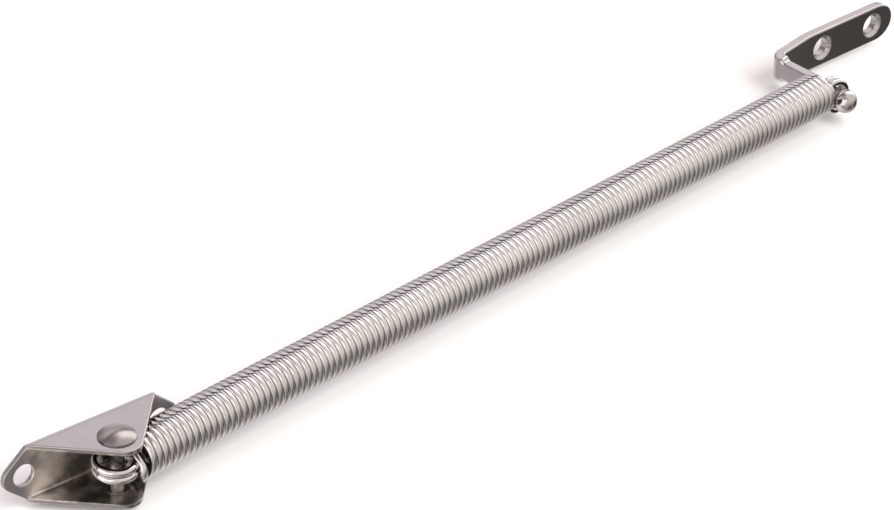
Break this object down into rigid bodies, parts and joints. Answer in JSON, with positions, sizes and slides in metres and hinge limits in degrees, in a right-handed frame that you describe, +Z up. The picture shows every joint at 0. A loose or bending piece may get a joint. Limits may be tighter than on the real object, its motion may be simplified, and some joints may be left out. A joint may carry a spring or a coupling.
{
  "type": "spring hatch holder",
  "caption": "Close-wound coil spring that holds a hatch or locker lid open, swivelling in a screw bracket at one end and on a bent screw plate at the other.",
  "frame": {"origin": "on the base bracket's back face, midway between its two screw holes", "axes": "+X along the base bracket towards the end plate, +Y into the surface the base is screwed to, +Z up along the rivet"},
  "size_m": [0.3135, 0.0552, 0.0176],
  "materials": {
    "bracket_steel": "satin stainless steel",
    "rivet_steel": "satin stainless steel",
    "spring_steel": "bright drawn stainless wire",
    "plate_steel": "polished stainless steel",
    "ball_steel": "polished stainless steel"
  },
  "bodies": {
    "base": {"base_bracket": "bracket_steel", "rivet": "rivet_steel"},
    "length_1": {"spring_1": "spring_steel"},
    "length_2": {"spring_2": "spring_steel"},
    "length_3": {"spring_3": "spring_steel"},
    "length_4": {"spring_4": "spring_steel"},
    "length_5": {"spring_5": "spring_steel"},
    "length_6": {"spring_6": "spring_steel"},
    "length_7": {"spring_7": "spring_steel"},
    "length_8": {"spring_8": "spring_steel"},
    "end": {"end_bracket": "plate_steel", "ball_end": "ball_steel"}
  },
  "joints": [
    {"name": "base_swivel", "type": "hinge", "parent": "base", "child": "length_1", "pos_m": [0, -0.01, 0], "axis": [0, 0, 1], "range_deg": [-192, 0]},
    {"name": "spring_bend_1", "type": "hinge", "parent": "length_1", "child": "length_2", "pos_m": [0.03437, -0.01109, 0], "axis": [0, 0, -1], "range_deg": [0, 25], "stiffness_Nm_per_rad": 0.17},
    {"name": "spring_bend_2", "type": "hinge", "parent": "length_2", "child": "length_3", "pos_m": [0.06416, -0.00786, 0], "axis": [0, 0, -1], "range_deg": [0, 25], "stiffness_Nm_per_rad": 0.17},
    {"name": "spring_bend_3", "type": "hinge", "parent": "length_3", "child": "length_4", "pos_m": [0.09396, -0.00462, 0], "axis": [0, 0, -1], "range_deg": [0, 25], "stiffness_Nm_per_rad": 0.17},
    {"name": "spring_bend_4", "type": "hinge", "parent": "length_4", "child": "length_5", "pos_m": [0.12376, -0.00138, 0], "axis": [0, 0, -1], "range_deg": [0, 25], "stiffness_Nm_per_rad": 0.17},
    {"name": "spring_bend_5", "type": "hinge", "parent": "length_5", "child": "length_6", "pos_m": [0.15355, 0.00185, 0], "axis": [0, 0, -1], "range_deg": [0, 25], "stiffness_Nm_per_rad": 0.17},
    {"name": "spring_bend_6", "type": "hinge", "parent": "length_6", "child": "length_7", "pos_m": [0.18335, 0.00509, 0], "axis": [0, 0, -1], "range_deg": [0, 25], "stiffness_Nm_per_rad": 0.17},
    {"name": "spring_bend_7", "type": "hinge", "parent": "length_7", "child": "length_8", "pos_m": [0.21314, 0.00833, 0], "axis": [0, 0, -1], "range_deg": [0, 25], "stiffness_Nm_per_rad": 0.17},
    {"name": "end_swivel", "type": "hinge", "parent": "length_8", "child": "end", "pos_m": [0.24804, 0.01695, -0.003], "axis": [0, 1, 0], "continuous": true}
  ],
  "couplings": [
    {"joint": "spring_bend_2", "follows": "spring_bend_1", "ratio": 1},
    {"joint": "spring_bend_3", "follows": "spring_bend_1", "ratio": 1},
    {"joint": "spring_bend_4", "follows": "spring_bend_1", "ratio": 1},
    {"joint": "spring_bend_5", "follows": "spring_bend_1", "ratio": 1},
    {"joint": "spring_bend_6", "follows": "spring_bend_1", "ratio": 1},
    {"joint": "spring_bend_7", "follows": "spring_bend_1", "ratio": 1}
  ]
}
